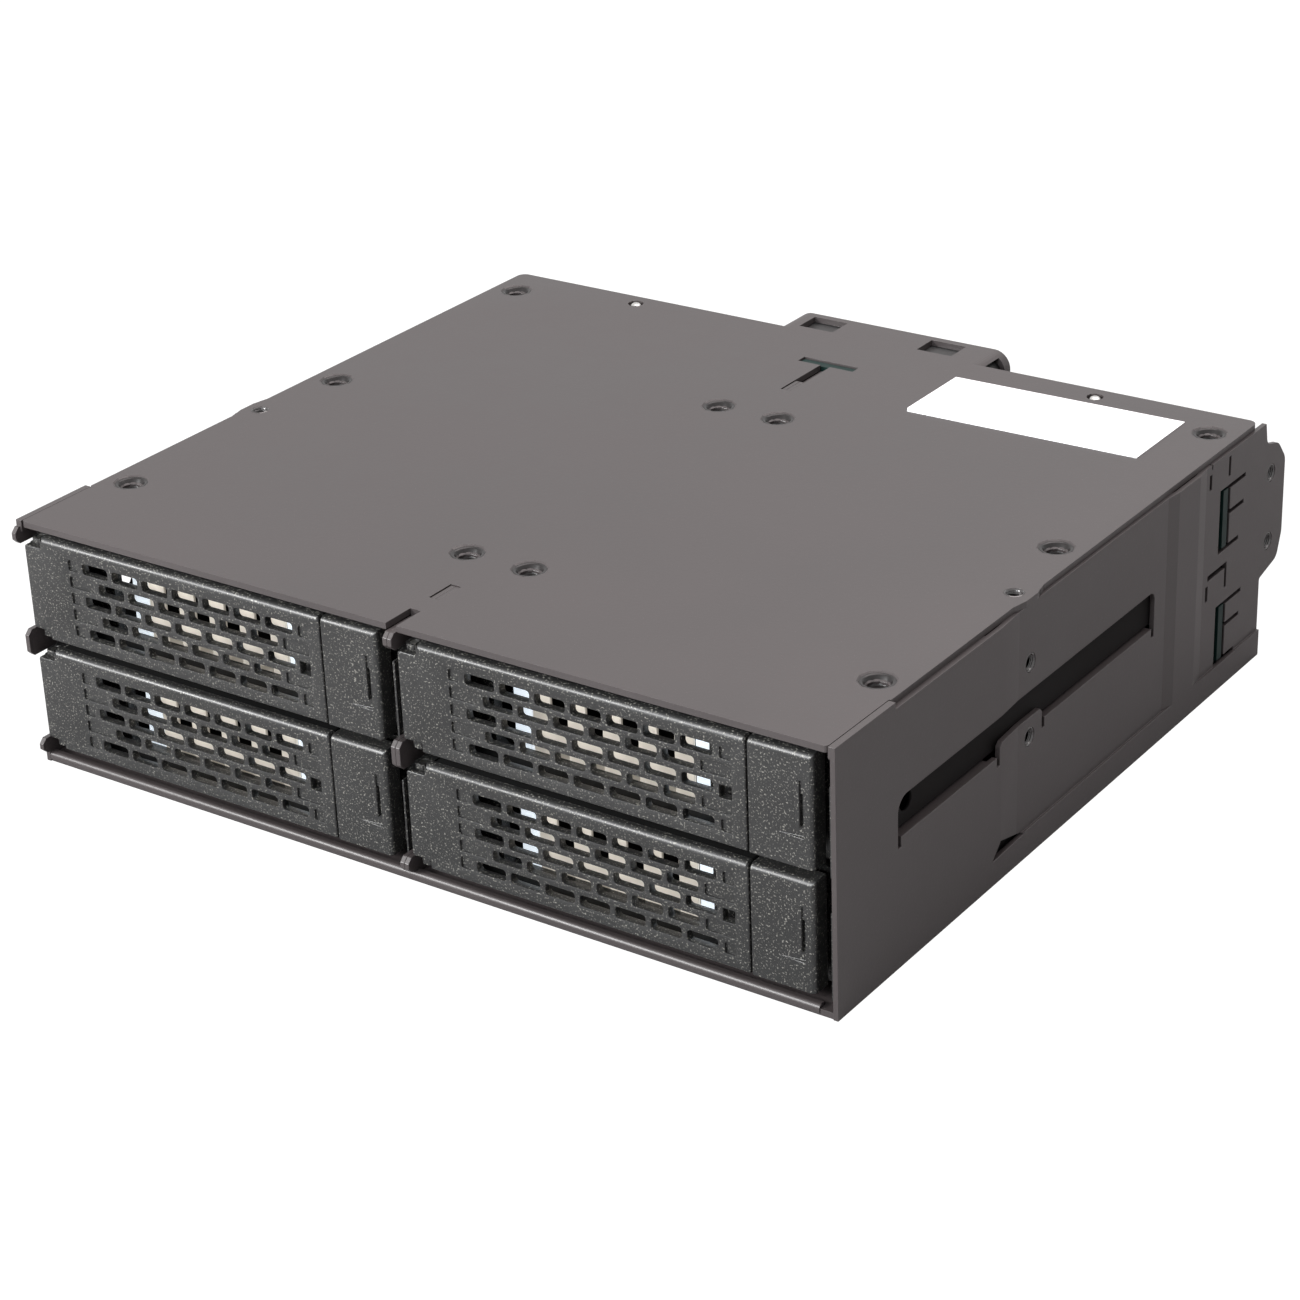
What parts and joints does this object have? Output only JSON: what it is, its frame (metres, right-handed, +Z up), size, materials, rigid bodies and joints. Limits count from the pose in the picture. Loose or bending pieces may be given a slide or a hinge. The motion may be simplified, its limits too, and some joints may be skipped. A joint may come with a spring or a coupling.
{
  "type": "hot swap drive cage",
  "caption": "Steel cage for a half-height 5.25 inch bay that holds small drive trays side by side and stacked, with hinged grille doors, sliding latches, a backplane and a rear fan.",
  "frame": {"origin": "middle of the footprint, on the underside", "axes": "+Z up, -Y towards the tray doors, +X to the right seen from the doors"},
  "size_m": [0.146, 0.1386, 0.0414],
  "materials": {
    "black_steel": "satin",
    "inner_steel": "satin",
    "door_plastic": "speckled matte",
    "black_plastic": "matte",
    "socket_plastic": "matte",
    "cream_shield": "matte",
    "clear_guide": "gloss",
    "amber_lamp": "gloss",
    "pin_steel": "bright",
    "black_screw": "satin",
    "green_board": "satin",
    "white_label": "matte"
  },
  "bodies": {
    "cage": {"side_panel_right": "black_steel", "side_panel_left": "black_steel", "divider_sheet_right": "black_steel", "divider_sheet_left": "black_steel", "top_plate": "black_steel", "bottom_plate": "black_steel", "blank_label": "white_label", "cover_screws": "black_screw", "divider_screws": "black_screw", "backplane_board": "green_board", "rear_panel": "black_steel", "data_port_1": "socket_plastic", "data_port_2": "socket_plastic", "data_port_3": "socket_plastic", "data_port_4": "socket_plastic", "power_port_1": "socket_plastic", "power_port_2": "socket_plastic", "fan_housing": "black_plastic", "receptacle_1": "socket_plastic", "receptacle_2": "socket_plastic", "receptacle_3": "socket_plastic", "receptacle_4": "socket_plastic"},
    "fan_rotor": {"fan_rotor": "black_plastic"},
    "tray_1": {"tray_1_pan": "inner_steel", "tray_1_frame": "door_plastic", "tray_1_shield": "cream_shield", "tray_1_light_guides": "clear_guide", "tray_1_lamp": "amber_lamp", "tray_1_door_pin": "pin_steel"},
    "door_1": {"tray_1_door": "door_plastic"},
    "latch_1": {"tray_1_latch": "door_plastic"},
    "tray_2": {"tray_2_pan": "inner_steel", "tray_2_frame": "door_plastic", "tray_2_shield": "cream_shield", "tray_2_light_guides": "clear_guide", "tray_2_lamp": "amber_lamp", "tray_2_door_pin": "pin_steel"},
    "door_2": {"tray_2_door": "door_plastic"},
    "latch_2": {"tray_2_latch": "door_plastic"},
    "tray_3": {"tray_3_pan": "inner_steel", "tray_3_frame": "door_plastic", "tray_3_shield": "cream_shield", "tray_3_light_guides": "clear_guide", "tray_3_lamp": "amber_lamp", "tray_3_door_pin": "pin_steel"},
    "door_3": {"tray_3_door": "door_plastic"},
    "latch_3": {"tray_3_latch": "door_plastic"},
    "tray_4": {"tray_4_pan": "inner_steel", "tray_4_frame": "door_plastic", "tray_4_shield": "cream_shield", "tray_4_light_guides": "clear_guide", "tray_4_lamp": "amber_lamp", "tray_4_door_pin": "pin_steel"},
    "door_4": {"tray_4_door": "door_plastic"},
    "latch_4": {"tray_4_latch": "door_plastic"}
  },
  "joints": [
    {"name": "tray_1_slide", "type": "slide", "parent": "cage", "child": "tray_1", "axis": [0, -1, 0], "range_m": [0, 0.118]},
    {"name": "door_1_hinge", "type": "hinge", "parent": "tray_1", "child": "door_1", "pos_m": [-0.07, -0.0662, 0.0106], "axis": [0, 0, -1], "range_deg": [0, 80]},
    {"name": "latch_1_slide", "type": "slide", "parent": "tray_1", "child": "latch_1", "axis": [1, 0, 0], "range_m": [0, 0.0015]},
    {"name": "tray_2_slide", "type": "slide", "parent": "cage", "child": "tray_2", "axis": [0, -1, 0], "range_m": [0, 0.118]},
    {"name": "door_2_hinge", "type": "hinge", "parent": "tray_2", "child": "door_2", "pos_m": [0.0026, -0.0662, 0.0106], "axis": [0, 0, -1], "range_deg": [0, 80]},
    {"name": "latch_2_slide", "type": "slide", "parent": "tray_2", "child": "latch_2", "axis": [1, 0, 0], "range_m": [0, 0.0015]},
    {"name": "tray_3_slide", "type": "slide", "parent": "cage", "child": "tray_3", "axis": [0, -1, 0], "range_m": [0, 0.118]},
    {"name": "door_3_hinge", "type": "hinge", "parent": "tray_3", "child": "door_3", "pos_m": [-0.07, -0.0662, 0.0296], "axis": [0, 0, -1], "range_deg": [0, 80]},
    {"name": "latch_3_slide", "type": "slide", "parent": "tray_3", "child": "latch_3", "axis": [1, 0, 0], "range_m": [0, 0.0015]},
    {"name": "tray_4_slide", "type": "slide", "parent": "cage", "child": "tray_4", "axis": [0, -1, 0], "range_m": [0, 0.118]},
    {"name": "door_4_hinge", "type": "hinge", "parent": "tray_4", "child": "door_4", "pos_m": [0.0026, -0.0662, 0.0296], "axis": [0, 0, -1], "range_deg": [0, 80]},
    {"name": "latch_4_slide", "type": "slide", "parent": "tray_4", "child": "latch_4", "axis": [1, 0, 0], "range_m": [0, 0.0015]},
    {"name": "fan_spin", "type": "hinge", "parent": "cage", "child": "fan_rotor", "pos_m": [0.00265, 0.0599, 0.0202], "axis": [0, 1, 0], "continuous": true}
  ]
}
